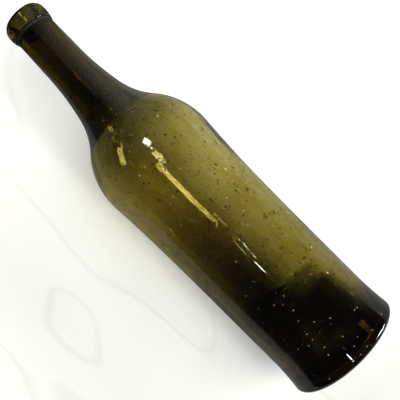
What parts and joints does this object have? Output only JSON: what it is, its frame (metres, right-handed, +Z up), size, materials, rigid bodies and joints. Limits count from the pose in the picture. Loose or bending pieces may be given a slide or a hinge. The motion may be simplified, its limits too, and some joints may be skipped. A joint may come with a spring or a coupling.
{
  "type": "wine bottle",
  "caption": "Hand-blown olive-green glass wine bottle: sloping shoulder, long neck with applied collar and straight cork bore, deep kick-up and worn resting ring.",
  "frame": {"origin": "centre of the worn ring under the foot, on the plane that the bottle stands on", "axes": "+Z up the bottle's axis from the foot to the mouth; X and Y are alike, because the bottle is turned round Z"},
  "size_m": [0.0812, 0.0812, 0.298],
  "materials": {
    "blown_glass": "free-blown olive-green glass with seeds",
    "collar_glass": "tooled amber-olive glass",
    "scar_glass": "broken and fire-softened dark olive glass"
  },
  "bodies": {
    "root": {"bottle_body": "blown_glass", "lip_collar": "collar_glass", "pontil_scar": "scar_glass"}
  },
  "joints": []
}
